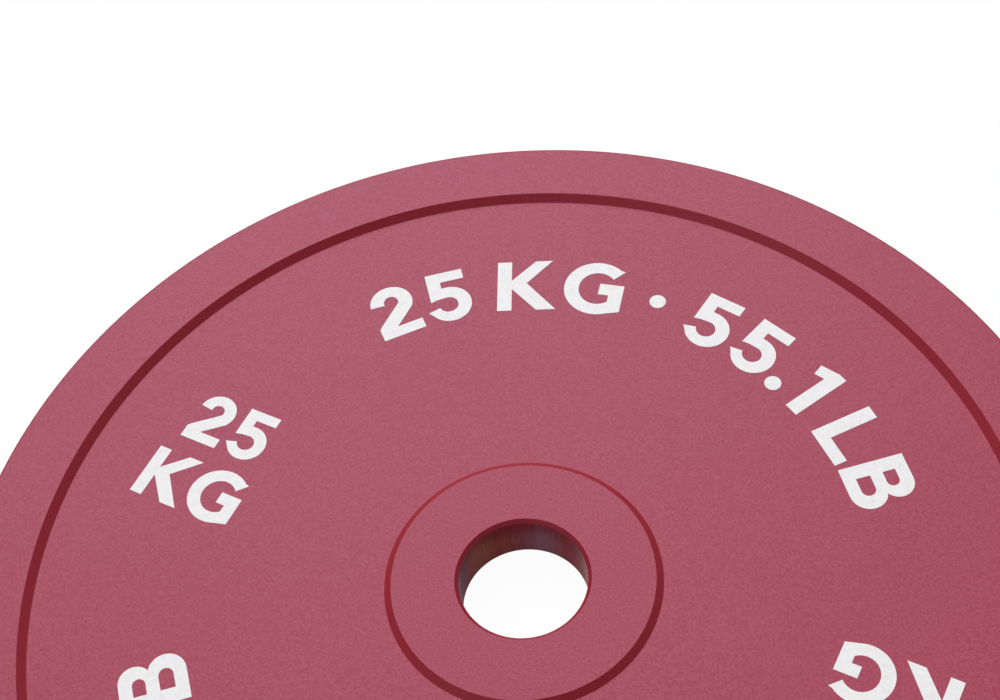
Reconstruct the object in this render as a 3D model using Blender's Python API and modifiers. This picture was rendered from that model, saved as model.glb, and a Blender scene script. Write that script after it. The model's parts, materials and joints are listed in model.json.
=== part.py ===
"""Calibrated powerlifting plate of 25 kg: a turned steel disc whose back face holds four calibration
stations, each a stepped pocket with a stack of trim discs behind a threaded plug.

Metres, +Z up. The plate lies on its back: +Z is the bore's axis and points out of the printed front
face, +Y is the top of the print, and the origin is on the bore's axis, level with the back of the rim.
"""

import math

import bmesh
import bpy
from mathutils import Matrix

# Plate body. Both faces have the same form: a raised rim, a recessed field and a raised hub.
PLATE_DIAMETER = 0.450
RIM_THICKNESS = 0.0246
RIM_WIDTH = 0.0270
RIM_SLOPE_WIDTH = 0.0032
RECESS_DEPTH = 0.00295
HUB_DIAMETER = 0.1090
HUB_SLOPE_WIDTH = 0.0028
HUB_BELOW_RIM = 0.0006
BORE_DIAMETER = 0.0506
BORE_CHAMFER = 0.00145
EDGE_RADIUS = 0.0010

# Calibration stations in the back face. Depths count from the back field, into the plate.
STATION_COUNT = 4
FIRST_STATION_ANGLE = math.radians(45)
STATION_FROM_HUB = 0.0330
POCKET_FLOOR = 0.0040
POCKET_MOUTH_CHAMFER = 0.0006
POCKET_SHOULDER = 0.0018
PLUG_DIAMETER = 0.0240
PLUG_LENGTH = 0.0070
PLUG_SUNK = 0.0005
PLUG_CHAMFER = 0.0008
PLUG_NOSE_LENGTH = 0.0008
PLUG_TURN_STEP = math.radians(50)
HEX_ACROSS_FLATS = 0.0120
HEX_DEPTH = 0.0045
HEX_MOUTH_MARGIN = 0.0005
HEX_MOUTH_ANGLE = math.radians(30)

# Each disc's share of the stack's height, from the plug's nose to the pocket's floor.
TRIM_SHARES = {"a": 0.1, "b": 0.2, "c": 0.3, "d": 0.4}

# Room left between solids that touch on the real plate.
SEAT_GAP = 0.0003

# How finely round forms are divided, and how far a cutter runs past the face that it cuts.
PLATE_SIDES = 128
STATION_SIDES = 36
EDGE_ARC_STEPS = 3
CUTTER_OVERRUN = 0.002
MERGE_DISTANCE = 0.00001
SHARP_ANGLE = math.radians(30)

# Base colour, metallic and roughness of each finish.
RED_PAINT = ("red_paint", (0.33, 0.020, 0.050), 0.0, 0.45)
ZINC_PLATE = ("zinc_plate", (0.62, 0.62, 0.60), 1.0, 0.35)
BRIGHT_STEEL = ("bright_steel", (0.56, 0.55, 0.53), 1.0, 0.30)

PLATE_RADIUS = PLATE_DIAMETER / 2
RIM_INNER_RADIUS = PLATE_RADIUS - RIM_WIDTH
HUB_FOOT_RADIUS = HUB_DIAMETER / 2
BORE_RADIUS = BORE_DIAMETER / 2
FIELD_THICKNESS = RIM_THICKNESS - 2 * RECESS_DEPTH

STATION_RADIUS = HUB_FOOT_RADIUS + STATION_FROM_HUB
POCKET_DEPTH = FIELD_THICKNESS - POCKET_FLOOR
THREAD_RADIUS = PLUG_DIAMETER / 2
CHAMBER_RADIUS = THREAD_RADIUS - POCKET_SHOULDER
SHOULDER_DEPTH = PLUG_SUNK + PLUG_LENGTH
NOSE_DEPTH = SHOULDER_DEPTH + PLUG_NOSE_LENGTH
STACK_HEIGHT = POCKET_DEPTH - NOSE_DEPTH - SEAT_GAP * (len(TRIM_SHARES) + 1)


def clear_scene():
    """Remove every object that is already in the scene."""
    for old in list(bpy.data.objects):
        bpy.data.objects.remove(old, do_unlink=True)


def new_collection(name):
    """A collection of the scene for the parts or for the cutters."""
    group = bpy.data.collections.new(name)
    bpy.context.scene.collection.children.link(group)
    return group


def finish(name, color, metallic, roughness):
    """A Principled material of one colour."""
    material = bpy.data.materials.new(name)
    material.use_nodes = True
    shader = material.node_tree.nodes["Principled BSDF"]
    shader.inputs["Base Color"].default_value = (*color, 1.0)
    shader.inputs["Metallic"].default_value = metallic
    shader.inputs["Roughness"].default_value = roughness
    return material


def add_object(name, mesh, group, material=None):
    """An object for this mesh in a collection, dressed where it has a material."""
    made = bpy.data.objects.new(name, mesh)
    group.objects.link(made)
    if material:
        mesh.materials.append(material)
    return made


def add_turned(name, profile, sides, group, closed=False, material=None):
    """A turned solid: a half section of (radius, height) points, swept once round Z.

    An open profile starts and ends on the axis. A closed one leaves a bore.
    """
    mesh = bpy.data.meshes.new(name)
    count = len(profile)
    edges = [(i, i + 1) for i in range(count - 1)]
    if closed:
        edges.append((count - 1, 0))
    mesh.from_pydata([(radius, 0, height) for radius, height in profile], edges, [])
    made = add_object(name, mesh, group, material)
    turn = made.modifiers.new("turn", "SCREW")
    turn.axis = "Z"
    turn.steps = turn.render_steps = sides
    turn.use_merge_vertices = True
    turn.merge_threshold = MERGE_DISTANCE
    return made


def add_prism(name, sides, radius, foot, top, group, material=None):
    """A straight prism with its corners on a circle, from height foot to height top."""
    shape = bmesh.new()
    bmesh.ops.create_cone(
        shape,
        cap_ends=True,
        segments=sides,
        radius1=radius,
        radius2=radius,
        depth=top - foot,
        matrix=Matrix.Translation((0, 0, (foot + top) / 2)),
    )
    mesh = bpy.data.meshes.new(name)
    shape.to_mesh(mesh)
    shape.free()
    return add_object(name, mesh, group, material)


def cut(target, cutter):
    """Take the cutter's shape out of the target, and show the cutter as a wire only."""
    cutter.hide_render = True
    cutter.display_type = "WIRE"
    hole = target.modifiers.new(cutter.name, "BOOLEAN")
    hole.operation = "DIFFERENCE"
    hole.solver = "EXACT"
    hole.object = cutter


def weld(target):
    """Merge the doubled corners that cuts leave behind."""
    seam = target.modifiers.new("weld", "WELD")
    seam.merge_threshold = MERGE_DISTANCE


def smooth_by_angle():
    """A node group that shades round walls smooth and keeps corners sharp."""
    group = bpy.data.node_groups.new("smooth_by_angle", "GeometryNodeTree")
    group.interface.new_socket("Geometry", in_out="INPUT", socket_type="NodeSocketGeometry")
    group.interface.new_socket("Geometry", in_out="OUTPUT", socket_type="NodeSocketGeometry")
    nodes, links = group.nodes, group.links
    start = nodes.new("NodeGroupInput")
    end = nodes.new("NodeGroupOutput")
    angle = nodes.new("GeometryNodeInputMeshEdgeAngle")
    gentle = nodes.new("FunctionNodeCompare")
    gentle.operation = "LESS_EQUAL"
    gentle.inputs["B"].default_value = SHARP_ANGLE
    faces = nodes.new("GeometryNodeSetShadeSmooth")
    edges = nodes.new("GeometryNodeSetShadeSmooth")
    edges.domain = "EDGE"

    links.new(start.outputs["Geometry"], faces.inputs["Geometry"])
    links.new(faces.outputs["Geometry"], edges.inputs["Geometry"])
    links.new(angle.outputs["Unsigned Angle"], gentle.inputs["A"])
    links.new(gentle.outputs["Result"], edges.inputs["Shade Smooth"])
    links.new(edges.outputs["Geometry"], end.inputs["Geometry"])
    return group


def half_face():
    """One face's half section from the outer edge to the bore, as (radius, depth below the rim)."""
    points = []
    for step in range(EDGE_ARC_STEPS + 1):
        turn = math.radians(90) * step / EDGE_ARC_STEPS
        radius = PLATE_RADIUS - EDGE_RADIUS * (1 - math.cos(turn))
        points.append((radius, EDGE_RADIUS * (1 - math.sin(turn))))
    points.append((RIM_INNER_RADIUS, 0))
    points.append((RIM_INNER_RADIUS - RIM_SLOPE_WIDTH, RECESS_DEPTH))
    points.append((HUB_FOOT_RADIUS, RECESS_DEPTH))
    points.append((HUB_FOOT_RADIUS - HUB_SLOPE_WIDTH, HUB_BELOW_RIM))
    points.append((BORE_RADIUS + BORE_CHAMFER, HUB_BELOW_RIM))
    points.append((BORE_RADIUS, HUB_BELOW_RIM + BORE_CHAMFER))
    return points


def station_matrix(number):
    """Where a station stands: on the back field, with its own +Z out of the plate's back."""
    angle = FIRST_STATION_ANGLE + 2 * math.pi * (number - 1) / STATION_COUNT
    place = Matrix.Rotation(angle, 4, "Z") @ Matrix.Translation((STATION_RADIUS, 0, RECESS_DEPTH))
    return place @ Matrix.Rotation(math.pi, 4, "X")


def build_plate_body(parts, cutters, paint):
    """The turned disc, with a stepped pocket cut into its back at each station.

    The half section runs down the outer side, in along the back, up the bore and out along the front.
    """
    back = half_face()
    front = [(radius, RIM_THICKNESS - depth) for radius, depth in reversed(back)]
    body = add_turned("plate_body", back + front, PLATE_SIDES, parts, closed=True, material=paint)
    pocket_section = [
        (0, CUTTER_OVERRUN),
        (THREAD_RADIUS + POCKET_MOUTH_CHAMFER + CUTTER_OVERRUN, CUTTER_OVERRUN),
        (THREAD_RADIUS, -POCKET_MOUTH_CHAMFER),
        (THREAD_RADIUS, -SHOULDER_DEPTH),
        (CHAMBER_RADIUS, -SHOULDER_DEPTH),
        (CHAMBER_RADIUS, -POCKET_DEPTH),
        (0, -POCKET_DEPTH),
    ]
    for number in range(1, STATION_COUNT + 1):
        pocket = add_turned(f"pocket_cutter_{number}", pocket_section, STATION_SIDES, cutters)
        pocket.matrix_world = station_matrix(number)
        cut(body, pocket)
    weld(body)
    return body


def build_plug(number, station, parts, cutters, zinc):
    """A plug: a chamfered shank that seats on the pocket's shoulder, a nose, and a hexagon socket."""
    shank_radius = THREAD_RADIUS - SEAT_GAP
    nose_radius = CHAMBER_RADIUS - SEAT_GAP
    shank_foot = -SHOULDER_DEPTH + SEAT_GAP
    plug_section = [
        (0, -PLUG_SUNK),
        (shank_radius - PLUG_CHAMFER, -PLUG_SUNK),
        (shank_radius, -PLUG_SUNK - PLUG_CHAMFER),
        (shank_radius, shank_foot),
        (nose_radius, shank_foot),
        (nose_radius, -NOSE_DEPTH),
        (0, -NOSE_DEPTH),
    ]
    plug = add_turned(f"calibration_plug_{number}", plug_section, STATION_SIDES, parts, material=zinc)

    corner_radius = HEX_ACROSS_FLATS / math.sqrt(3)
    hex_floor = -PLUG_SUNK - HEX_DEPTH
    hexagon = add_prism(f"hex_cutter_{number}", 6, corner_radius, hex_floor, CUTTER_OVERRUN, cutters)

    mouth_radius = corner_radius + HEX_MOUTH_MARGIN
    mouth_rise = CUTTER_OVERRUN * math.tan(HEX_MOUTH_ANGLE)
    mouth_section = [
        (0, mouth_rise - PLUG_SUNK),
        (mouth_radius + CUTTER_OVERRUN, mouth_rise - PLUG_SUNK),
        (0, -PLUG_SUNK - mouth_radius * math.tan(HEX_MOUTH_ANGLE)),
    ]
    mouth = add_turned(f"hex_mouth_cutter_{number}", mouth_section, STATION_SIDES, cutters)

    for piece in (plug, hexagon, mouth):
        piece.parent = station
        piece.rotation_euler.z = PLUG_TURN_STEP * (number - 1)
    cut(plug, hexagon)
    cut(plug, mouth)
    weld(plug)
    return plug


def build_trim_stack(number, station, parts, steel):
    """The stack of plain discs between the plug's nose and the pocket's floor, thinnest first."""
    discs = []
    top = -NOSE_DEPTH - SEAT_GAP
    for letter, share in TRIM_SHARES.items():
        foot = top - STACK_HEIGHT * share
        name = f"trim_disc_{number}{letter}"
        disc = add_prism(name, STATION_SIDES, CHAMBER_RADIUS - SEAT_GAP, foot, top, parts, steel)
        disc.parent = station
        discs.append(disc)
        top = foot - SEAT_GAP
    return discs


def main():
    """Build the plate body, then the plug and the trim discs of each station."""
    clear_scene()
    parts = new_collection("powerlifting_plate")
    cutters = new_collection("cutters")
    paint, zinc, steel = (finish(*values) for values in (RED_PAINT, ZINC_PLATE, BRIGHT_STEEL))
    pieces = [build_plate_body(parts, cutters, paint)]
    for number in range(1, STATION_COUNT + 1):
        station = add_object(f"station_{number}", None, parts)
        station.matrix_world = station_matrix(number)
        pieces.append(build_plug(number, station, parts, cutters, zinc))
        pieces.extend(build_trim_stack(number, station, parts, steel))
    shading = smooth_by_angle()
    for piece in pieces:
        piece.modifiers.new("smooth_by_angle", "NODES").node_group = shading


main()
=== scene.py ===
"""The looks of a red 25 kg calibrated powerlifting plate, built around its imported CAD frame.

The plate lies on its back. +Z is the bore's axis and points out of the printed front face, and +Y
is the top of the print. The origin is on the axis, level with the rim's back. Lengths are metres.
"""

import json
import logging
import math
from collections.abc import Callable, Mapping, Sequence
from dataclasses import dataclass, field
from enum import Enum
from typing import Any, Union

import bpy
from bpy.types import Material, Mesh
from mathutils import Euler, Matrix, Vector

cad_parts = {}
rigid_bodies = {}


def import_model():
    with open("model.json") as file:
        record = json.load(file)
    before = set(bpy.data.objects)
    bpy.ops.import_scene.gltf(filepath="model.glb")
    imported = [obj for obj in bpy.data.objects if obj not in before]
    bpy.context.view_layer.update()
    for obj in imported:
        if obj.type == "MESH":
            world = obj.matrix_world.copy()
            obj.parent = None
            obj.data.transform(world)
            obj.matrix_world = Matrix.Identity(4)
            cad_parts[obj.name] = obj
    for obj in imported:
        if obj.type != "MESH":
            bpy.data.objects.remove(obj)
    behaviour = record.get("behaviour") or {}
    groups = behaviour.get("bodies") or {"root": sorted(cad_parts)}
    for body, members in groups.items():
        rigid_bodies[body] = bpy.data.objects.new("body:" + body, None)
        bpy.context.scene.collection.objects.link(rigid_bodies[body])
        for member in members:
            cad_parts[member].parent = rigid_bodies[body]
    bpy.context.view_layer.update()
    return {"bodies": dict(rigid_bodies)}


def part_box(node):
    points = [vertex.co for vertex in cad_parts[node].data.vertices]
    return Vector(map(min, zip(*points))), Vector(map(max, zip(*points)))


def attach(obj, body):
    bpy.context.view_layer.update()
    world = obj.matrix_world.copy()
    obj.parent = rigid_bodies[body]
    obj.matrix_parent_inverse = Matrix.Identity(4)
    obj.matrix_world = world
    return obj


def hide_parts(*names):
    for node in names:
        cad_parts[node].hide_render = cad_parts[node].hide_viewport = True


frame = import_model()

LOG = logging.getLogger("plate")
BODY = next(iter(frame["bodies"]))
MERGE_DISTANCE = 0.00001
SHARP_ANGLE = math.radians(32)

Pair = tuple[float, float]
Colour = tuple[float, float, float, float]
Number = Union[float, "Wire"]
Key = Union[int, str]


class Slot(Enum):
    """The record's material slots."""

    PAINT = "paint"
    PLUG = "plug"
    TRIM = "trim"


def grey(level: float) -> Colour:
    """An opaque neutral colour."""
    return (level, level, level, 1.0)


def put(name: str, data: bpy.types.ID) -> bpy.types.Object:
    """Put a mesh, lamp or camera in the scene, at the origin."""
    made = bpy.data.objects.new(name, data)
    bpy.context.scene.collection.objects.link(made)
    return made


def take_mesh(carrier: bpy.types.Object) -> Mesh:
    """The plain mesh that an object's modifiers give. The object itself is removed."""
    graph = bpy.context.evaluated_depsgraph_get()
    result = bpy.data.meshes.new_from_object(carrier.evaluated_get(graph))
    bpy.data.objects.remove(carrier)
    return result


# Node trees


def math_operator(operation: str, reflected: bool = False) -> Callable[["Wire", Number], "Wire"]:
    """Make one of Python's operators for wires.

    Args:
        operation: The operation of the Math node that it adds.
        reflected: Whether the wire stands on the operator's right.

    Returns:
        The operator's method.
    """

    def method(wire: "Wire", other: Number) -> "Wire":
        """Add the Math node."""
        values = (other, wire) if reflected else (wire, other)
        return wire.desk.maths(operation, *values)

    return method


class Wire:
    """An output socket of a node. Python's operators on it add Math nodes."""

    def __init__(self, desk: "NodeDesk", socket: bpy.types.NodeSocket | None) -> None:
        """Keep the socket and the desk that new nodes go to."""
        self.desk = desk
        self.socket = socket

    def other(self, key: Key) -> "Wire":
        """Another output of the same node."""
        return Wire(self.desk, self.desk.pick(self.socket.node.outputs, key))

    def maths(self, operation: str, *others: Number) -> "Wire":
        """A Math node on this value and others."""
        return self.desk.maths(operation, self, *others)

    def __abs__(self) -> "Wire":
        """The absolute value."""
        return self.maths("ABSOLUTE")

    __add__ = math_operator("ADD")
    __radd__ = math_operator("ADD", reflected=True)
    __sub__ = math_operator("SUBTRACT")
    __rsub__ = math_operator("SUBTRACT", reflected=True)
    __mul__ = math_operator("MULTIPLY")
    __rmul__ = math_operator("MULTIPLY", reflected=True)
    __truediv__ = math_operator("DIVIDE")
    __rtruediv__ = math_operator("DIVIDE", reflected=True)
    __pow__ = math_operator("POWER")
    __rpow__ = math_operator("POWER", reflected=True)
    __lt__ = math_operator("LESS_THAN")
    __gt__ = math_operator("GREATER_THAN")


def from_axis(x: Wire, y: Wire) -> Wire:
    """How far a place is from the axis."""
    return (x * x + y * y) ** 0.5


class NodeDesk:
    """A node tree being built. Every node in it comes from the node method."""

    def __init__(self, tree: bpy.types.NodeTree) -> None:
        """Start work on a tree."""
        self.tree = tree

    @staticmethod
    def pick(sockets: Sequence[bpy.types.NodeSocket], key: Key) -> bpy.types.NodeSocket:
        """A socket by its number, identifier or name."""
        if isinstance(key, int):
            return sockets[key]
        return next(s for s in sockets if s.identifier == key or (s.enabled and s.name == key))

    def node(
        self, kind: str, sockets: Mapping[Key, Any] | None = None, output: Key = 0, **settings: Any
    ) -> Wire:
        """Add a node.

        Args:
            kind: The node's type.
            sockets: A value or a wire for each input that isn't left alone.
            output: The output that the caller wants.
            settings: Properties of the node, which are set before its sockets.

        Returns:
            The chosen output.
        """
        made = self.tree.nodes.new(kind)
        for name, value in settings.items():
            setattr(made, name, value)
        for key, value in (sockets or {}).items():
            socket = self.pick(made.inputs, key)
            if isinstance(value, Wire):
                self.tree.links.new(value.socket, socket)
            else:
                socket.default_value = value
        return Wire(self, self.pick(made.outputs, output) if made.outputs else None)

    def maths(self, operation: str, *values: Number) -> Wire:
        """A Math node on these values."""
        return self.node("ShaderNodeMath", dict(enumerate(values)), operation=operation)

    def split(self, vector: Wire) -> tuple[Wire, Wire, Wire]:
        """The three parts of a vector."""
        x = self.node("ShaderNodeSeparateXYZ", {0: vector})
        return x, x.other("Y"), x.other("Z")

    def vector(self, x: Number = 0.0, y: Number = 0.0, z: Number = 0.0) -> Wire:
        """A vector from its three parts."""
        return self.node("ShaderNodeCombineXYZ", {"X": x, "Y": y, "Z": z})


class GeometryDesk(NodeDesk):
    """A Geometry Nodes tree with one geometry in, one out, and named inputs for its sizes."""

    def __init__(self, name: str) -> None:
        """Start a tree with its two geometry sockets."""
        super().__init__(bpy.data.node_groups.new(name, "GeometryNodeTree"))
        self.identifiers: dict[str, str] = {}
        self.source = self.size("Geometry", "Geometry")
        self.tree.interface.new_socket(
            "Geometry", in_out="OUTPUT", socket_type="NodeSocketGeometry"
        )

    def size(self, name: str, kind: str = "Float") -> Wire:
        """Add a named input to the tree."""
        interface = self.tree.interface
        item = interface.new_socket(name, in_out="INPUT", socket_type=f"NodeSocket{kind}")
        self.identifiers[name] = item.identifier
        return self.node("NodeGroupInput", output=item.identifier)

    def sizes(self, *names: str, kind: str = "Float") -> list[Wire]:
        """Add several named inputs of one kind to the tree."""
        return [self.size(name, kind) for name in names]

    def merged(self, geometry: Wire) -> Wire:
        """The geometry with its doubled points merged."""
        return self.node(
            "GeometryNodeMergeByDistance", {"Geometry": geometry, "Distance": MERGE_DISTANCE}
        )

    def cut(self, geometry: Wire, cutters: Wire) -> Wire:
        """The geometry without what lies inside the cutters."""
        return self.node(
            "GeometryNodeMeshBoolean",
            {"Mesh 1": geometry, "Mesh 2": cutters},
            operation="DIFFERENCE",
            solver="EXACT",
        )

    def turned_copies(
        self, geometry: Wire, count: Wire, radius: Number = 0.0, first: Number = 0.0
    ) -> Wire:
        """Instances spaced evenly round Z.

        Args:
            geometry: What is repeated. It is drawn on the axis.
            count: The number of copies.
            radius: How far each copy stands from the axis.
            first: The angle of the first copy.

        Returns:
            The instances, each turned to face out from the axis.
        """
        ring = self.node("GeometryNodePoints", {"Count": count})
        angle = first + math.tau * self.node("GeometryNodeInputIndex") / count
        place = self.vector(radius * angle.maths("COSINE"), radius * angle.maths("SINE"))
        placed = self.node("GeometryNodeSetPosition", {"Geometry": ring, "Position": place})
        return self.node(
            "GeometryNodeInstanceOnPoints",
            {"Points": placed, "Instance": geometry, "Rotation": self.vector(z=angle)},
        )

    def shaded(self, geometry: Wire) -> Wire:
        """The geometry shaded smooth, apart from its sharp edges."""
        faces = self.node("GeometryNodeSetShadeSmooth", {"Geometry": geometry})
        angle = self.node("GeometryNodeInputMeshEdgeAngle", output="Unsigned Angle")
        return self.node(
            "GeometryNodeSetShadeSmooth",
            {"Geometry": faces, "Shade Smooth": angle < SHARP_ANGLE},
            domain="EDGE",
        )

    def end(self, geometry: Wire, extras: Mapping[str, Wire] | None = None) -> None:
        """End the tree in Realize Instances and Set Material.

        Args:
            geometry: The tree's result, which takes the input called Material.
            extras: The faces that take another material, by the name of its input.
        """
        dressed = self.node("GeometryNodeRealizeInstances", {"Geometry": geometry})
        for name, faces in {"Material": True, **(extras or {})}.items():
            sockets = {"Selection": faces, "Material": self.size(name, "Material")}
            dressed = self.node("GeometryNodeSetMaterial", {"Geometry": dressed, **sockets})
        self.node("NodeGroupOutput", {"Geometry": dressed})

    def run(self, name: str, source: Mesh, values: Mapping[str, Any]) -> Mesh:
        """Run the tree.

        Args:
            name: The name for the result.
            source: The mesh that goes in.
            values: A value for each named input.

        Returns:
            The result as a plain mesh, without the empty material slots.
        """
        carrier = put(name, source)
        modifier = carrier.modifiers.new(self.tree.name, "NODES")
        modifier.node_group = self.tree
        for label, value in values.items():
            modifier[self.identifiers[label]] = value
        result = take_mesh(carrier)
        result.name = name
        for slot in reversed(range(len(result.materials))):
            if result.materials[slot] is None:
                result.materials.pop(index=slot)
        return result


# Finishes


@dataclass(frozen=True)
class Noise:
    """A noise from nought to one.

    Its size is that of its largest features, and squash shrinks the coordinates first, so that they
    are drawn out. Detail counts its finer layers, and harsh is the strength of each beside the one
    before. A seed other than nought picks another pattern.
    """

    size: float
    detail: float = 2.0
    harsh: float = 0.5
    seed: float = 0.0
    squash: tuple[float, float, float] = (1.0, 1.0, 1.0)


# Only the height counts in tool marks, so that they run round the axis
TOOL_MARKS = Noise(0.00022, squash=(0.0, 0.0, 1.0))
TOOL_DEPTH = 0.000006


class ShaderDesk(NodeDesk):
    """A material being built around one Principled shader."""

    def __init__(self, name: str) -> None:
        """Start a material with an empty tree."""
        self.material = bpy.data.materials.new(name)
        self.material.use_nodes = True
        super().__init__(self.material.node_tree)
        self.tree.nodes.clear()
        self.place = self.node("ShaderNodeTexCoord", output="Object")

    def noise(self, kind: Noise, place: Wire | None = None) -> Wire:
        """Add a noise.

        Args:
            kind: The noise's sizes.
            place: The coordinates, where they aren't the object's own.

        Returns:
            The noise.
        """
        squashed = {0: place or self.place, 1: kind.squash}
        sockets = {
            "Vector": self.node("ShaderNodeVectorMath", squashed, operation="MULTIPLY"),
            "Scale": 1 / kind.size,
            "Detail": kind.detail,
            "Roughness": kind.harsh,
            "W": kind.seed,
        }
        dimensions = "4D" if kind.seed else "3D"
        return self.node("ShaderNodeTexNoise", sockets, noise_dimensions=dimensions)

    @staticmethod
    def varied(level: Number, spread: float, noise: Wire) -> Wire:
        """A value that strays from its level with a noise, by half its spread to either side."""
        return level + spread * (noise - 0.5)

    def ease(self, value: Wire, limits: Pair) -> Wire:
        """Nought below the first limit, one above the second, and a smooth step between them."""
        low, high = limits
        sockets = {"Value": value, "From Min": low, "From Max": high}
        return self.node("ShaderNodeMapRange", sockets, interpolation_type="SMOOTHSTEP")

    def blend(self, factor: Wire, first: Colour | Wire, second: Colour | Wire) -> Wire:
        """A colour between two others."""
        sockets = {"Factor_Float": factor, "A_Color": first, "B_Color": second}
        return self.node("ShaderNodeMix", sockets, "Result_Color", data_type="RGBA")

    def tones(self, value: Wire, limits: Pair, low: Colour | Wire, high: Colour | Wire) -> Wire:
        """One colour where a value is below its limits, and another above them."""
        return self.blend(self.ease(value, limits), low, high)

    def relief(self, height: Wire, depth: float) -> Wire:
        """A normal from a height, where one stands depth proud."""
        return self.node("ShaderNodeBump", {"Height": height, "Distance": depth})

    def done(self, colour: Wire, roughness: Wire, normal: Wire, **fixed: Any) -> Material:
        """Finish the material with a Principled shader.

        Args:
            colour: The base colour.
            roughness: The roughness.
            normal: The normal.
            fixed: What is the same all over, by the socket's name with _ for each space.

        Returns:
            The material.
        """
        sockets = {"Base Color": colour, "Roughness": roughness, "Normal": normal}
        sockets |= {name.replace("_", " "): value for name, value in fixed.items()}
        shader = self.node("ShaderNodeBsdfPrincipled", sockets, "BSDF")
        self.node("ShaderNodeOutputMaterial", {"Surface": shader})
        return self.material


@dataclass(frozen=True)
class SatinPaint:
    """Red paint sprayed over machined steel: a fine grain in its colour, and a faint orange peel.

    Its sloped faces carry a painted shade, a deeper and less purple red than the flats, and it has
    a few tiny chips in some of its clouds.
    """

    name: str = "red_satin_paint"
    light: Colour = (0.313, 0.027, 0.049, 1.0)
    deep: Colour = (0.252, 0.001, 0.013, 1.0)
    grain: Noise = Noise(0.0010, detail=3.0, harsh=0.8)
    grain_share: float = 0.93
    grain_limits: Pair = (0.395, 0.605)
    cloud: Noise = Noise(0.045, detail=3.0)
    # Painted shade: the darker, less purple red of the sloped faces, as if they were shaded and
    # lacked sheen
    painted_slope_shade: Colour = (0.243, 0.000, 0.005, 1.0)
    slope_shade_limits: Pair = (0.84, 0.97)
    chip: Colour = (0.10, 0.006, 0.012, 1.0)
    chip_spacing: float = 0.016
    chip_edge: Pair = (0.018, 0.030)
    chip_clouds: Pair = (0.52, 0.56)
    gloss: float = 0.63
    gloss_tint: Colour = (0.90, 0.64, 0.86, 1.0)
    peel: Noise = Noise(0.0016)
    peel_depth: float = 0.000018
    roughness: float = 0.54
    roughness_spread: float = -0.07

    def material(self) -> Material:
        """Build the paint."""
        desk = ShaderDesk(self.name)
        grain = desk.noise(self.grain)
        cloud = desk.noise(self.cloud)
        mottle = grain * self.grain_share + cloud * (1 - self.grain_share)
        toned = desk.tones(mottle, self.grain_limits, self.deep, self.light)
        # Painted shade on the sloped faces, faded in as the surface turns away from upright
        facing = desk.node("ShaderNodeTexCoord", output="Normal")
        upright = abs(desk.split(facing)[2])
        toned = desk.tones(upright, self.slope_shade_limits, self.painted_slope_shade, toned)
        spacing = {"Vector": desk.place, "Scale": 1 / self.chip_spacing}
        speck = 1 - desk.ease(desk.node("ShaderNodeTexVoronoi", spacing), self.chip_edge)
        chipped = speck * desk.ease(cloud, self.chip_clouds)
        return desk.done(
            desk.blend(chipped, toned, self.chip),
            desk.varied(self.roughness, self.roughness_spread, grain),
            desk.relief(desk.noise(self.peel), self.peel_depth),
            Specular_IOR_Level=self.gloss,
            Specular_Tint=self.gloss_tint,
        )


@dataclass(frozen=True)
class WhiteInk:
    """Screen printed white ink, a little duller where it lies thin on the paint."""

    name: str = "white_ink"
    white: Colour = (0.885, 0.875, 0.89, 1.0)
    thin: Colour = (0.80, 0.76, 0.78, 1.0)
    thin_limits: Pair = (0.40, 0.80)
    grain: Noise = Noise(0.0030, detail=4.0, harsh=0.8)
    grain_depth: float = 0.000012
    roughness: float = 0.5
    roughness_spread: float = 0.1

    def material(self) -> Material:
        """Build the ink."""
        desk = ShaderDesk(self.name)
        grain = desk.noise(self.grain)
        return desk.done(
            desk.tones(grain, self.thin_limits, self.white, self.thin),
            desk.varied(self.roughness, self.roughness_spread, grain),
            desk.relief(grain, self.grain_depth),
        )


@dataclass(frozen=True)
class TurnedSteel:
    """Bare machined steel: tool marks round the axis, and a haze that runs along it."""

    name: str = "pocket_steel"
    bright: Colour = (0.52, 0.51, 0.49, 1.0)
    dull: Colour = (0.36, 0.35, 0.34, 1.0)
    haze: Noise = Noise(0.016, detail=3.0, squash=(1.0, 1.0, 0.18))
    haze_limits: Pair = (0.36, 0.64)
    roughness: float = 0.36
    roughness_spread: float = 0.12

    def material(self) -> Material:
        """Build the steel."""
        desk = ShaderDesk(self.name)
        haze = desk.noise(self.haze)
        return desk.done(
            desk.tones(haze, self.haze_limits, self.dull, self.bright),
            desk.varied(self.roughness, self.roughness_spread, haze),
            desk.relief(desk.noise(TOOL_MARKS), TOOL_DEPTH),
            Metallic=1.0,
        )


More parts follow.
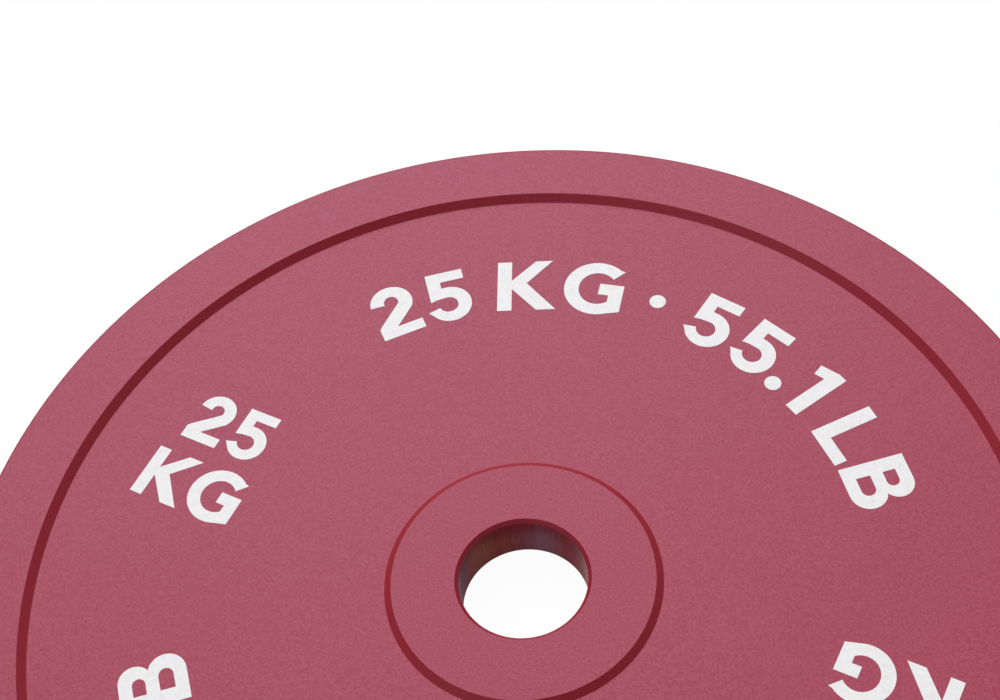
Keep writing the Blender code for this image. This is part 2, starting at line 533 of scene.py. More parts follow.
@dataclass(frozen=True)
class SprayedSteel:
    """Machined steel under red paint scraped off in patches and streaks, redder towards the front
    mouth.
    """

    name: str = "sprayed_steel"
    spray: Colour = (0.335, 0.048, 0.064, 1.0)
    front_red_heights: Pair = (0.0100, 0.0235)
    front_red_cover: float = 0.20
    patch: Noise = Noise(0.022, seed=67.0, squash=(1.0, 1.0, 0.18))
    streak: Noise = Noise(0.0009, detail=3.0, harsh=0.9, squash=(1.0, 1.0, 0.05))
    streak_share: float = 0.4
    bare_limits: Pair = (0.18, 0.58)
    steel: Colour = (0.360, 0.200, 0.275, 1.0)
    stained: Colour = (0.520, 0.220, 0.165, 1.0)
    stain: Noise = Noise(0.022, seed=82.0, squash=(1.0, 1.0, 0.18))
    stain_limits: Pair = (0.42, 0.66)
    gloss: float = 0.004
    bare_roughness: float = 0.50
    spray_roughness: float = 0.18

    def material(self) -> Material:
        """Build the sprayed steel."""
        desk = ShaderDesk(self.name)
        # Redder towards the front mouth: less bare steel shows there, and the wall is paler and
        # greyer deeper in
        front_red = desk.ease(desk.split(desk.place)[2], self.front_red_heights)
        patch = desk.noise(self.patch) - self.front_red_cover * front_red
        worn = desk.varied(patch, self.streak_share, desk.noise(self.streak))
        bare = desk.ease(worn, self.bare_limits)
        stain = desk.noise(self.stain)
        ground = desk.tones(stain, self.stain_limits, self.steel, self.stained)
        smoother = self.bare_roughness - self.spray_roughness
        return desk.done(
            desk.blend(bare, self.spray, ground),
            self.bare_roughness - smoother * (1 - bare),
            desk.relief(desk.noise(TOOL_MARKS), TOOL_DEPTH),
            Specular_IOR_Level=self.gloss,
        )


@dataclass(frozen=True)
class ZincPlate:
    """Zinc plating over turned steel, with faint clouds and rings round each plug's own axis."""

    name: str = "zinc_plate"
    pale: Colour = (0.66, 0.66, 0.65, 1.0)
    cool: Colour = (0.50, 0.52, 0.55, 1.0)
    cloud: Noise = Noise(0.006, detail=3.0)
    cloud_limits: Pair = (0.35, 0.65)
    place_attribute: str = "own_place"
    ring_pitch: float = 0.00035
    ring_depth: float = 0.000004
    roughness: float = 0.34
    roughness_spread: float = 0.14

    def material(self) -> Material:
        """Build the plating."""
        desk = ShaderDesk(self.name)
        own = desk.node("ShaderNodeAttribute", output="Vector", attribute_name=self.place_attribute)
        x, y, _ = desk.split(own)
        rings = from_axis(x, y) * (math.tau / self.ring_pitch)
        cloud = desk.noise(self.cloud, own)
        return desk.done(
            desk.tones(cloud, self.cloud_limits, self.pale, self.cool),
            desk.varied(self.roughness, self.roughness_spread, cloud),
            desk.relief(rings.maths("SINE"), self.ring_depth),
            Metallic=1.0,
        )


@dataclass(frozen=True)
class RolledSteel:
    """Plain cold rolled sheet: fine lines along the way it was rolled, and a thin film of oil."""

    name: str = "rolled_steel"
    pale: Colour = (0.56, 0.55, 0.53, 1.0)
    oiled: Colour = (0.38, 0.36, 0.33, 1.0)
    oil: Noise = Noise(0.007, detail=3.0)
    oil_limits: Pair = (0.45, 0.70)
    lines: Noise = Noise(0.0004, squash=(0.03, 1.0, 1.0))
    line_depth: float = 0.000003
    roughness: float = 0.32
    roughness_spread: float = 0.18

    def material(self) -> Material:
        """Build the steel."""
        desk = ShaderDesk(self.name)
        lines = desk.noise(self.lines)
        return desk.done(
            desk.tones(desk.noise(self.oil), self.oil_limits, self.pale, self.oiled),
            desk.varied(self.roughness, self.roughness_spread, lines),
            desk.relief(lines, self.line_depth),
            Metallic=1.0,
        )


# Meshes


@dataclass(frozen=True)
class Corner:
    """A corner of a half section: its radius, its height and how far it is rounded."""

    radius: float
    height: float
    rounding: float = 0.0


class Lathe(GeometryDesk):
    """Turns a half section of corners round Z. It is drawn from the path that it is swept along."""

    ROUNDING = "rounding"
    PATH_RADIUS = 1.0

    def __init__(self) -> None:
        """Build the tree: round the section's corners, sweep it along a circle, close the poles."""
        super().__init__("turned_form")
        sides, steps = self.sizes("Sides", "Rounding Steps", kind="Int")
        section = self.node("GeometryNodeMeshToCurve", {"Mesh": self.source})
        rounding = self.node(
            "GeometryNodeInputNamedAttribute", {"Name": self.ROUNDING}, data_type="FLOAT"
        )
        rounded = self.node(
            "GeometryNodeFilletCurve",
            {"Curve": section, "Count": steps, "Radius": rounding, "Limit Radius": True},
            mode="POLY",
        )
        circle = self.node(
            "GeometryNodeCurvePrimitiveCircle", {"Resolution": sides, "Radius": self.PATH_RADIUS}
        )
        path = self.node("GeometryNodeSetCurveNormal", {"Curve": circle}, mode="Z_UP")
        swept = self.node("GeometryNodeCurveToMesh", {"Curve": path, "Profile Curve": rounded})
        self.end(self.shaded(self.merged(swept)))

    def turn(
        self, name: str, corners: Sequence[Corner], sides: int, material: Material, steps: int = 4
    ) -> Mesh:
        """Turn a section.

        Args:
            name: The mesh's name.
            corners: The section, down the outer side, in along the foot and up. One that starts
                on the axis also ends there, and any other is closed round a bore.
            sides: The number of flats round the axis.
            material: The finish.
            steps: How many points round off a corner.

        Returns:
            The turned mesh.
        """
        section = bpy.data.meshes.new(name)
        last = len(corners) - 1
        edges = [(i, i + 1) for i in range(last)]
        if corners[0].radius > 0:
            edges.append((last, 0))
        points = [(c.radius - self.PATH_RADIUS, -c.height, 0.0) for c in corners]
        section.from_pydata(points, edges, [])
        rounding = section.attributes.new(self.ROUNDING, "FLOAT", "POINT")
        rounding.data.foreach_set("value", [c.rounding for c in corners])
        values = {"Sides": sides, "Rounding Steps": steps, "Material": material}
        return self.run(name, section, values)


def even_normals(mesh: Mesh) -> Mesh:
    """A copy of a mesh whose broad flats keep their own normal up to their rounded edges."""
    carrier = put(mesh.name, mesh)
    weigh = carrier.modifiers.new("even_normals", "WEIGHTED_NORMAL")
    weigh.keep_sharp = True
    return take_mesh(carrier)


def add_piece(
    name: str, mesh: Mesh, slot: Slot | None = None, stands_for: Sequence[str] = ()
) -> None:
    """Put a finished mesh in the scene as a piece of the plate.

    Args:
        name: The piece's name.
        mesh: Its mesh, in place.
        slot: The record's material slot for the piece's finish. It is not used.
        stands_for: The CAD nodes that it is shown in place of.
    """
    piece = put(name, mesh)
    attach(piece, BODY)
    if stands_for:
        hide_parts(*stands_for)
    LOG.info("%s: %d faces", name, len(mesh.polygons))


# The turned body


class StationCut(GeometryDesk):
    """Cuts a pocket at each station, bares the machined walls and dresses the outer arrises."""

    def __init__(self) -> None:
        """Build the tree: space the cutters, take them away, dress the faces."""
        super().__init__("station_pockets")
        cutter = self.size("Cutter", "Object")
        count = self.size("Stations", "Int")
        circle, first, middle, half_web = self.sizes(
            "Station Circle", "First Angle", "Mid Height", "Half Web"
        )
        inside, outside, arris = self.sizes("Rim Inside", "Outside", "Arris")
        shape = self.node("GeometryNodeObjectInfo", {"Object": cutter}, "Geometry")
        cut = self.cut(self.source, self.turned_copies(shape, count, circle, first))
        x, y, z = self.split(self.node("GeometryNodeInputPosition"))
        radius = from_axis(x, y)
        from_middle = abs(z - middle)
        on_arris = (from_middle > middle - arris) * (radius > outside - arris)
        bare = (from_middle < half_web) * (radius < inside)
        in_pocket = bare * (radius > circle / 2)
        extras = {"Arris Paint": on_arris, "Bore Steel": bare, "Pocket Steel": in_pocket}
        self.end(self.shaded(self.merged(cut)), extras)


@dataclass
class TurnedBody:
    """The turned disc: a raised rim, a recessed field and a raised hub on each face, and a bore."""

    rim_width: float = 0.0270
    rim_slope: float = 0.0032
    recess: float = 0.00295
    hub_radius: float = 0.0545
    hub_slope: float = 0.0028
    hub_below_rim: float = 0.0006
    bore_radius: float = 0.0253
    bore_chamfer: float = 0.00145
    arris: float = 0.0008
    arris_gloss: float = 0.08
    crease: float = 0.0005
    crest: float = 0.0004
    sides: int = 256
    station_count: int = 4
    first_station: float = math.radians(45)
    station_from_hub: float = 0.0330
    pocket_floor: float = 0.0040
    pocket_sides: int = 72
    mouth_chamfer: float = 0.0006
    shoulder: float = 0.0018
    thread_radius: float = 0.0120
    shoulder_depth: float = 0.0075
    overrun: float = 0.002
    radius: float = field(init=False)
    thickness: float = field(init=False)

    def __post_init__(self) -> None:
        """Take the outside sizes from the frame."""
        low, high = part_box("plate_body")
        self.radius = (high.x - low.x) / 2
        self.thickness = high.z - low.z

    @property
    def station_circle(self) -> float:
        """The radius of the circle that the stations stand on."""
        return self.hub_radius + self.station_from_hub

    def face(self) -> list[Corner]:
        """One face's half section from the outer edge to the bore, with depths for heights."""
        rim_inside = self.radius - self.rim_width
        return [
            Corner(self.radius, 0, self.arris),
            Corner(rim_inside, 0, self.crest),
            Corner(rim_inside - self.rim_slope, self.recess, self.crease),
            Corner(self.hub_radius, self.recess, self.crease),
            Corner(self.hub_radius - self.hub_slope, self.hub_below_rim, self.crest),
            Corner(self.bore_radius + self.bore_chamfer, self.hub_below_rim, self.crest / 2),
            Corner(self.bore_radius, self.hub_below_rim + self.bore_chamfer, self.crest / 2),
        ]

    def section(self) -> list[Corner]:
        """The whole half section: in along the back and out along the front."""
        back = self.face()
        front = [Corner(c.radius, self.thickness - c.height, c.rounding) for c in reversed(back)]
        return back + front

    def pocket_section(self) -> list[Corner]:
        """The cutter of a pocket, from its floor down to its mouth in the back field."""
        chamber = self.thread_radius - self.shoulder
        mouth = self.thread_radius + self.mouth_chamfer + self.overrun
        shoulder = self.recess + self.shoulder_depth
        floor = self.thickness - self.recess - self.pocket_floor
        return [
            Corner(0, floor),
            Corner(chamber, floor),
            Corner(chamber, shoulder),
            Corner(self.thread_radius, shoulder),
            Corner(self.thread_radius, self.recess + self.mouth_chamfer),
            Corner(mouth, self.recess - self.overrun),
            Corner(0, self.recess - self.overrun),
        ]

    def build(self, lathe: Lathe) -> None:
        """Turn the body, cut its pockets and dress it.

        Args:
            lathe: The tree that turns sections.
        """
        paint = SatinPaint().material()
        bore_steel = SprayedSteel().material()
        pocket_steel = TurnedSteel().material()
        blank = lathe.turn("plate_blank", self.section(), self.sides, paint)
        cutter_mesh = lathe.turn(
            "pocket_cutter", self.pocket_section(), self.pocket_sides, pocket_steel
        )
        cutter = bpy.data.objects.new("pocket_cutter", cutter_mesh)
        arris_paint = SatinPaint(name="thin_arris_paint", gloss=self.arris_gloss).material()
        values = {
            "Cutter": cutter,
            "Stations": self.station_count,
            "Station Circle": self.station_circle,
            "First Angle": self.first_station,
            "Mid Height": self.thickness / 2,
            "Half Web": self.thickness / 2 - self.recess - MERGE_DISTANCE,
            "Rim Inside": self.radius - self.rim_width,
            "Outside": self.radius,
            "Arris": self.arris,
            "Material": paint,
            "Arris Paint": arris_paint,
            "Bore Steel": bore_steel,
            "Pocket Steel": pocket_steel,
        }
        mesh = StationCut().run("plate_body_turned", blank, values)
        bpy.data.objects.remove(cutter)
        add_piece("plate_body_turned", even_normals(mesh), Slot.PAINT, ["plate_body"])


# The calibration stations


class ThreadCut(GeometryDesk):
    """Rolls a rounded thread into the side of a turned blank."""

    def __init__(self) -> None:
        """Build the tree: a wave that climbs round the axis, and fades at both ends."""
        super().__init__("rolled_thread")
        pitch, depth, side = self.sizes("Pitch", "Depth", "Blank Radius")
        foot, top, run_out = self.sizes("Thread Foot", "Thread Top", "Run Out")
        x, y, z = self.split(self.node("GeometryNodeInputPosition"))
        phase = z * math.tau / pitch - y.maths("ARCTAN2", x)
        wave = 0.5 - 0.5 * phase.maths("COSINE")
        near_end = (z - foot).maths("MINIMUM", top - z) / run_out
        faded = near_end.maths("MAXIMUM", 0.0).maths("MINIMUM", 1.0)
        on_side = from_axis(x, y) > side - MERGE_DISTANCE
        shrink = 1 - depth * wave * faded * on_side / side
        narrowed = self.vector(x * shrink, y * shrink, z)
        cut = self.node(
            "GeometryNodeSetPosition", {"Geometry": self.source, "Position": narrowed}
        )
        self.end(self.shaded(cut))


class SocketCut(GeometryDesk):
    """Sinks a hexagon socket with a countersunk mouth and a drilled floor, and marks own places.

    The drill's cone starts above the socket's floor by a small share of the overrun.
    """

    CORNERS = 6
    CONE_SIDES = 72
    DRILL_SHARE = 0.01

    def __init__(self) -> None:
        """Build the tree: a prism and two cones, taken from the source."""
        super().__init__("hexagon_socket")
        corner, depth, face = self.sizes("Corner Radius", "Depth", "Face Height")
        margin, mouth_rise = self.sizes("Mouth Margin", "Mouth Rise")
        drill, drill_depth, overrun = self.sizes("Drill Radius", "Drill Point", "Overrun")
        prism = self.node(
            "GeometryNodeMeshCylinder",
            {"Vertices": self.CORNERS, "Radius": corner, "Depth": depth + overrun},
        )
        slope = mouth_rise / margin
        mouth = corner + margin + overrun
        cutters = (
            (prism, face + (overrun - depth) * 0.5),
            (self.cone(mouth, mouth * slope), face + overrun * slope),
            (self.cone(drill, drill_depth), face - depth + overrun * self.DRILL_SHARE),
        )
        cut = self.source
        for cutter, height in cutters:
            cut = self.cut(cut, self.raised(cutter, height))
        place = {"Name": ZincPlate.place_attribute, "Value": self.node("GeometryNodeInputPosition")}
        marked = self.node(
            "GeometryNodeStoreNamedAttribute",
            {"Geometry": self.merged(cut), **place},
            data_type="FLOAT_VECTOR",
            domain="POINT",
        )
        self.end(self.shaded(marked))

    def cone(self, radius: Wire, height: Wire) -> Wire:
        """A cone that hangs point down from its base on the origin's plane."""
        sockets = {"Radius Top": 0.0, "Radius Bottom": radius, "Depth": height}
        shape = self.node("GeometryNodeMeshCone", {"Vertices": self.CONE_SIDES, **sockets})
        return self.node(
            "GeometryNodeTransform", {"Geometry": shape, "Rotation": Euler((math.pi, 0, 0))}
        )

    def raised(self, geometry: Wire, height: Wire) -> Wire:
        """The geometry moved along Z."""
        return self.node(
            "GeometryNodeTransform", {"Geometry": geometry, "Translation": self.vector(z=height)}
        )


@dataclass
class CalibrationPlug:
    """A threaded plug with a hexagon socket, which closes a pocket in the plate's back.

    It is built with its own +Z out of the plate's back, from the level of the back field.
    """

    shank_radius: float = 0.0117
    nose_radius: float = 0.0099
    sunk: float = 0.0005
    chamfer: float = 0.0008
    face_rounding: float = 0.00015
    shank_foot: float = 0.0072
    nose_end: float = 0.0083
    nose_rounding: float = 0.0003
    across_flats: float = 0.0120
    hex_depth: float = 0.0045
    mouth_margin: float = 0.0005
    mouth_angle: float = math.radians(30)
    drill_radius: float = 0.0058
    drill_point: float = 0.0016
    overrun: float = 0.002
    pitch: float = 0.0015
    thread_depth: float = 0.0005
    rows_per_turn: int = 14
    rounding_steps: int = 3
    sides: int = 96

    @property
    def thread_top(self) -> float:
        """The depth where the thread starts, at the foot of the face's chamfer."""
        return self.sunk + self.chamfer

    @property
    def thread_foot(self) -> float:
        """The depth where the thread ends, above the shank's lower chamfer."""
        return self.shank_foot - self.chamfer / 2

    def section(self) -> list[Corner]:
        """The half section, with a row of points for every part of the thread's turn."""
        top, length = self.thread_top, self.thread_foot - self.thread_top
        rows = round(length / self.pitch * self.rows_per_turn)
        return [
            Corner(0, -self.sunk),
            Corner(self.shank_radius - self.chamfer, -self.sunk, self.face_rounding),
            *(Corner(self.shank_radius, -(top + length * i / rows)) for i in range(rows + 1)),
            Corner(self.shank_radius - self.chamfer / 2, -self.shank_foot),
            Corner(self.nose_radius, -self.shank_foot),
            Corner(self.nose_radius, -self.nose_end, self.nose_rounding),
            Corner(0, -self.nose_end),
        ]

    def build(self, number: int, station: Matrix, lathe: Lathe, material: Material) -> None:
        """Turn, thread and broach a plug, and put it in its station.

        Args:
            number: The station's number.
            station: The station's place, with its +Z out of the plate's back.
            lathe: The tree that turns sections.
            material: The plug's plating.
        """
        node = f"calibration_plug_{number}"
        mesh = lathe.turn(
            f"{node}_blank", self.section(), self.sides, material, self.rounding_steps
        )
        thread = {
            "Pitch": self.pitch,
            "Depth": self.thread_depth,
            "Blank Radius": self.shank_radius,
            "Thread Foot": -self.thread_foot,
            "Thread Top": -self.thread_top,
            "Run Out": self.pitch / 2,
            "Material": material,
        }
        mesh = ThreadCut().run(f"{node}_rolled", mesh, thread)
        socket = {
            "Corner Radius": self.across_flats / math.sqrt(3),
            "Depth": self.hex_depth,
            "Face Height": -self.sunk,
            "Mouth Margin": self.mouth_margin,
            "Mouth Rise": self.mouth_margin * math.tan(self.mouth_angle),
            "Drill Radius": self.drill_radius,
            "Drill Point": self.drill_point,
            "Overrun": self.overrun,
            "Material": material,
        }
        mesh = SocketCut().run(f"{node}_socketed", mesh, socket)
        mesh.transform(station)
        add_piece(f"{node}_threaded", mesh, Slot.PLUG, [node])


@dataclass
class TrimStack:
    """The discs behind a plug, punched from sheet: one edge rolled over, the other sharp."""

    letters: str = "abcd"
    rollover: float = 0.00025
    rollover_share: float = 0.35
    sharp_share: float = 0.3
    sides: int = 96

    def build(self, number: int, lathe: Lathe, material: Material) -> None:
        """Turn each disc of a station in place of its CAD node.

        Args:
            number: The station's number.
            lathe: The tree that turns sections.
            material: The discs' steel.
        """
        for letter in self.letters:
            node = f"trim_disc_{number}{letter}"
            low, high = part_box(node)
            radius = (high.x - low.x) / 2
            edge = min(self.rollover, (high.z - low.z) * self.rollover_share)
            section = [
                Corner(0, high.z),
                Corner(radius, high.z, edge * self.sharp_share),
                Corner(radius, low.z, edge),
                Corner(0, low.z),
            ]
            mesh = lathe.turn(f"{node}_punched", section, self.sides, material)
            mesh.transform(Matrix.Translation(((high.x + low.x) / 2, (high.y + low.y) / 2, 0)))
            add_piece(f"{node}_punched", mesh, Slot.TRIM, [node])


@dataclass
class Stations:
    """The calibration stations, spaced evenly round the bore. Each plug is left at its own turn."""

    turn_step: float = math.radians(50)
    plug: CalibrationPlug = field(default_factory=CalibrationPlug)
    stack: TrimStack = field(default_factory=TrimStack)

    def build(self, body: TurnedBody, lathe: Lathe) -> None:
        """Fill each of the body's pockets.

        Args:
            body: The body, which says where the pockets are.
            lathe: The tree that turns sections.
        """
        zinc = ZincPlate().material()
        steel = RolledSteel().material()
        place = Matrix.Translation((body.station_circle, 0, body.recess))
        out_of_back = Matrix.Rotation(math.pi, 4, "X")
        for step in range(body.station_count):
            angle = body.first_station + math.tau * step / body.station_count
            own_turn = Matrix.Rotation(self.turn_step * step, 4, "Z")
            station = Matrix.Rotation(angle, 4, "Z") @ place @ out_of_back @ own_turn
            self.plug.build(step + 1, station, lathe, zinc)
            self.stack.build(step + 1, lathe, steel)


# The print


@dataclass(frozen=True)
class Bend:
    """An elliptical arc of an outline, from one angle to another in degrees."""

    centre: Pair
    radii: Pair
    start: float
    end: float
    step: float = 7.5

    def points(self) -> list[Pair]:
        """The points along the arc."""
        (x, y), (wide, high) = self.centre, self.radii
        swing = self.end - self.start
        count = math.ceil(abs(swing) / self.step)
        angles = [math.radians(self.start + swing * i / count) for i in range(count + 1)]
        return [(x + wide * math.cos(a), y + high * math.sin(a)) for a in angles]


@dataclass(frozen=True)
class Glyph:
    """A bold character: its width, outlines and side margins, in millimetres at the cap height."""

    width: float
    outlines: Sequence[Sequence[Pair | Bend]]
    left: float = 1.25
    right: float = 1.25

    def loops(self) -> list[list[Pair]]:
        """Each outline as a closed loop of points."""
        return [
            [p for part in outline for p in (part.points() if isinstance(part, Bend) else [part])]
            for outline in self.outlines
        ]


CAP = 23.7
GLYPHS: dict[str, Glyph] = {
    "2": Glyph(16.8, [[
        (0, 0), (16.8, 0), (16.8, 4.6), (6.9, 4.6),
        Bend((8.4, 16.3), (8.2, 7.9), -34, 176),
        Bend((8.4, 16.6), (2.8, 2.8), 190, -24),
        (1.2, 6.9), (0, 5.5),
    ]]),
    "5": Glyph(17.2, [[
        (1.8, CAP), (16.3, CAP), (16.3, 19.1), (7.0, 19.1), (7.0, 16.1),
        Bend((8.8, 7.85), (8.4, 8.25), 95, -150),
        (0, 5.4),
        Bend((8.3, 7.7), (3.7, 3.5), 194, 450),
        (4.7, 10.9), (1.8, 10.2),
    ]]),
    "K": Glyph(22.2, [[
        (0, 0), (5.5, 0), (5.5, 10.5), (14.8, 0), (22.2, 0), (11.2, 13.1),
        (21.4, CAP), (14.8, CAP), (5.5, 14.5), (5.5, CAP), (0, CAP),
    ]], right=0.0),
    "G": Glyph(22.9, [[
        (22.9, 2.1), (22.9, 14.6), (13.5, 14.6), (13.5, 9.4), (17.5, 9.4),
        Bend((12.9, 12.1), (7.3, 7.5), -51, -317),
        (22.2, 21.5),
        Bend((12.7, 12.1), (12.7, 12.5), 52, 293),
    ]], left=0.6),
    "1": Glyph(10.8, [[
        (5.2, 0), (10.8, 0), (10.8, 23.9), (7.2, 23.9), (0, 21.5), (1.2, 17.1), (5.2, 18.3),
    ]]),
    "L": Glyph(16.4, [[(0, 0), (16.4, 0), (16.4, 4.8), (5.5, 4.8), (5.5, CAP), (0, CAP)]]),
    "B": Glyph(18.4, [
        [
            (0, 0),
            Bend((11.3, 6.8), (7.1, 6.8), -90, 56),
            Bend((10.6, 17.8), (6.1, 5.9), -56, 90),
            (0, CAP),
        ],
        [(5.3, 14.4), Bend((9.4, 16.7), (2.3, 2.3), -90, 90), (5.3, 19.0)],
        [(5.3, 4.6), Bend((10.5, 7.2), (2.6, 2.6), -90, 90), (5.3, 9.8)],
    ]),
    ".": Glyph(6.2, [[Bend((3.1, 3.1), (3.1, 3.1), 0, 345)]], 0.8, 0.8),
    "|": Glyph(6.2, [[Bend((3.1, CAP / 2), (3.1, 3.1), 0, 345)]]),
    " ": Glyph(4.6, []),
}


class InkSheet(GeometryDesk):
    """Fills flat outlines, gives them the ink's thickness and repeats them round the bore."""

    def __init__(self) -> None:
        """Build the tree."""
        super().__init__("ink_sheet")
        copies = self.size("Copies", "Int")
        thickness = self.size("Thickness")
        outlines = self.node("GeometryNodeMeshToCurve", {"Mesh": self.source})
        filled = self.node("GeometryNodeFillCurve", {"Curve": outlines}, mode="TRIANGLES")
        rise = self.vector(z=thickness)
        upper = self.node(
            "GeometryNodeExtrudeMesh",
            {"Mesh": filled, "Offset": rise, "Offset Scale": 1.0, "Individual": False},
        )
        under = self.node("GeometryNodeFlipFaces", {"Mesh": filled})
        both = self.node("GeometryNodeJoinGeometry", {"Geometry": upper})
        self.tree.links.new(under.socket, both.socket.node.inputs[0])
        self.end(self.turned_copies(self.merged(both), copies))


@dataclass
class PrintedWeights:
    """The white print on the front field: the weight on each side, and both units on an arc."""

    block: tuple[str, str] = ("25", "KG")
    arc_text: str = "25 KG | 55.1 LB"
    block_cap: float = 0.0237
    block_centre: Pair = (-0.1443, -0.00075)
    row_pitch: float = 0.0316
    arc_cap: float = 0.0270
    arc_radius: float = 0.1333
    arc_sweep: float = math.radians(107)
    ink: float = 0.00010
    sunk: float = 0.00002
    copies: int = 2
    points: list[tuple[float, float, float]] = field(default_factory=list, init=False)
    edges: list[tuple[int, int]] = field(default_factory=list, init=False)

    def add_glyph(self, glyph: Glyph, scale: float, place: Matrix) -> None:
        """Draw a character's outlines.

        Args:
            glyph: The character.
            scale: Metres for each of its millimetres.
            place: Where its left end and baseline go.
        """
        for loop in glyph.loops():
            first = len(self.points)
            self.points += [tuple(place @ Vector((x * scale, y * scale, 0))) for x, y in loop]
            last = len(self.points) - 1
            self.edges += [(i, i + 1) for i in range(first, last)] + [(last, first)]

    def draw_row(self, text: str, baseline: float) -> None:
        """Draw a straight row of the block, centred on the block."""
        scale = self.block_cap / CAP
        glyphs = [GLYPHS[c] for c in text]
        gaps = sum(a.right + b.left for a, b in zip(glyphs, glyphs[1:]))
        left = self.block_centre[0] - (sum(g.width for g in glyphs) + gaps) * scale / 2
        for glyph, follower in zip(glyphs, [*glyphs[1:], glyphs[-1]]):
            self.add_glyph(glyph, scale, Matrix.Translation((left, baseline, 0)))
            left += (glyph.width + glyph.right + follower.left) * scale

    def draw_arc(self) -> None:
        """Draw the text on the arc. Each character stands straight on it, and the gaps are even."""
        scale = self.arc_cap / CAP
        glyphs = [GLYPHS[c] for c in self.arc_text]
        widths = [(g.left + g.width + g.right) * scale for g in glyphs]
        spare = (self.arc_sweep * self.arc_radius - sum(widths)) / (len(glyphs) - 1)
        along = -self.arc_sweep / 2
        for glyph, width in zip(glyphs, widths):
            middle = along + width / 2 / self.arc_radius
            on_arc = Matrix.Rotation(-middle, 4, "Z") @ Matrix.Translation((0, self.arc_radius, 0))
            centred = Matrix.Translation((-glyph.width * scale / 2, 0, 0))
            self.add_glyph(glyph, scale, on_arc @ centred)
            along += (width + spare) / self.arc_radius

    def build(self, field_height: float) -> None:
        """Draw and ink the print.

        Args:
            field_height: The height of the front field.
        """
        upper = self.block_centre[1] + (self.row_pitch - self.block_cap) / 2
        self.draw_row(self.block[0], upper)
        self.draw_row(self.block[1], upper - self.row_pitch)
        self.draw_arc()
        outlines = bpy.data.meshes.new("print_outlines")
        outlines.from_pydata(self.points, self.edges, [])
        values = {
            "Copies": self.copies,
            "Thickness": self.ink + self.sunk,
            "Material": WhiteInk().material(),
        }
        mesh = InkSheet().run("weight_print", outlines, values)
        mesh.transform(Matrix.Translation((0, 0, field_height - self.sunk)))
        add_piece("weight_print", mesh)


# The studio


@dataclass(frozen=True)
class SoftLamp:
    """A large soft lamp so far off that it lights the plate and the floor alike.

    Its azimuth turns from +Y towards -X, and one unit of its level shows a white card as white.
    """

    name: str
    level: float
    spread: float
    azimuth: float
    elevation: float

    def hang(self) -> None:
        """Hang the lamp."""
        data = bpy.data.lights.new(self.name, "SUN")
        data.energy = self.level * math.pi / math.sin(self.elevation)
        data.angle = self.spread
        lamp = put(self.name, data)
        lamp.rotation_euler = Euler((math.pi / 2 - self.elevation, 0, math.pi + self.azimuth))


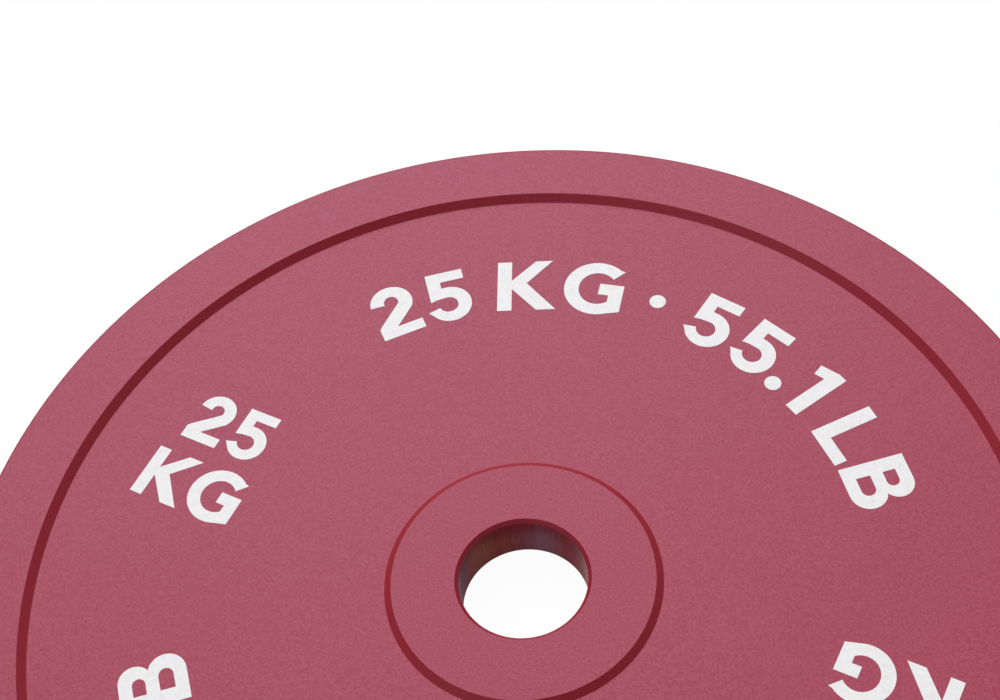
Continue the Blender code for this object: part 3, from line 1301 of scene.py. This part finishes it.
@dataclass
class Studio:
    """A pale floor, two large soft lamps, and a dim even world."""

    floor_reach: float = 30.0
    floor_drop: float = 0.0001
    floor_white: float = 0.97
    floor_glow: float = 0.96
    ambient: float = 0.01
    lamps: tuple[SoftLamp, ...] = (
        SoftLamp("key", 0.765, math.radians(50), math.radians(38), math.radians(53)),
        SoftLamp("fill", 0.08, math.radians(44), math.radians(165), math.radians(42)),
    )

    @staticmethod
    def background_ray(desk: NodeDesk) -> Wire:
        """One for a ray that shows the background as itself, and nought for one that lights."""
        path = desk.node("ShaderNodeLightPath", output="Is Camera Ray")
        seen = path + path.other("Is Glossy Ray") + path.other("Is Transmission Ray")
        return seen.maths("MINIMUM", 1.0)

    def build_world(self) -> None:
        """Make the world: white behind the plate, and an even fill on it."""
        world = bpy.data.worlds.new("studio")
        world.use_nodes = True
        world.node_tree.nodes.clear()
        bpy.context.scene.world = world
        desk = NodeDesk(world.node_tree)
        fill = desk.node("ShaderNodeBackground", {"Color": grey(self.ambient)})
        white = desk.node("ShaderNodeBackground", {"Color": grey(1.0)})
        mixed = desk.node("ShaderNodeMixShader", {0: self.background_ray(desk), 1: fill, 2: white})
        desk.node("ShaderNodeOutputWorld", {"Surface": mixed})

    def build_floor(self) -> None:
        """Make the floor: pale, lit like the plate, and almost white where it is seen."""
        desk = ShaderDesk("pale_floor")
        matt = desk.node("ShaderNodeBsdfDiffuse", {"Color": grey(self.floor_white)})
        glow = desk.node("ShaderNodeEmission", {"Color": grey(1.0)})
        share = self.background_ray(desk) * self.floor_glow
        mixed = desk.node("ShaderNodeMixShader", {0: share, 1: matt, 2: glow})
        desk.node("ShaderNodeOutputMaterial", {"Surface": mixed})
        reach = self.floor_reach
        corners = [(-reach, -reach), (reach, -reach), (reach, reach), (-reach, reach)]
        mesh = bpy.data.meshes.new("floor")
        mesh.from_pydata([(x, y, -self.floor_drop) for x, y in corners], [], [(0, 1, 2, 3)])
        mesh.materials.append(desk.material)
        floor = put("floor", mesh)

    def build(self) -> None:
        """Make the world, the floor and the lamps, and set how colours are shown."""
        bpy.context.scene.view_settings.view_transform = "Standard"
        self.build_world()
        self.build_floor()
        for lamp in self.lamps:
            lamp.hang()


@dataclass
class PhotoCamera:
    """The photograph's camera, solved from the plate's ellipses at a diameter of 450 mm."""

    azimuth: float = math.radians(33.0)
    side: float = 0.00311
    back: float = 0.34217
    above_rim: float = 0.60227
    tilt: float = math.radians(36.93)
    roll: float = math.radians(-7.75)
    lens: float = 63.818
    sensor: float = 36.0

    def build(self, rim_height: float) -> None:
        """Place the camera.

        Args:
            rim_height: The height of the front rim plane.
        """
        data = bpy.data.cameras.new("photo_camera")
        data.lens = self.lens
        data.sensor_width = self.sensor
        camera = put("photo_camera", data)
        stand = Matrix.Translation((self.side, -self.back, rim_height + self.above_rim))
        aim = Matrix.Rotation(self.tilt, 4, "X") @ Matrix.Rotation(self.roll, 4, "Z")
        camera.matrix_world = Matrix.Rotation(self.azimuth, 4, "Z") @ stand @ aim
        bpy.context.scene.camera = camera


def main() -> None:
    """Build every piece, the studio and the camera."""
    logging.basicConfig(level=logging.INFO, format="%(name)s %(message)s")
    body = TurnedBody()
    lathe = Lathe()
    body.build(lathe)
    Stations().build(body, lathe)
    PrintedWeights().build(body.thickness - body.recess)
    Studio().build()
    PhotoCamera().build(body.thickness)


if __name__ == "__main__":
    main()
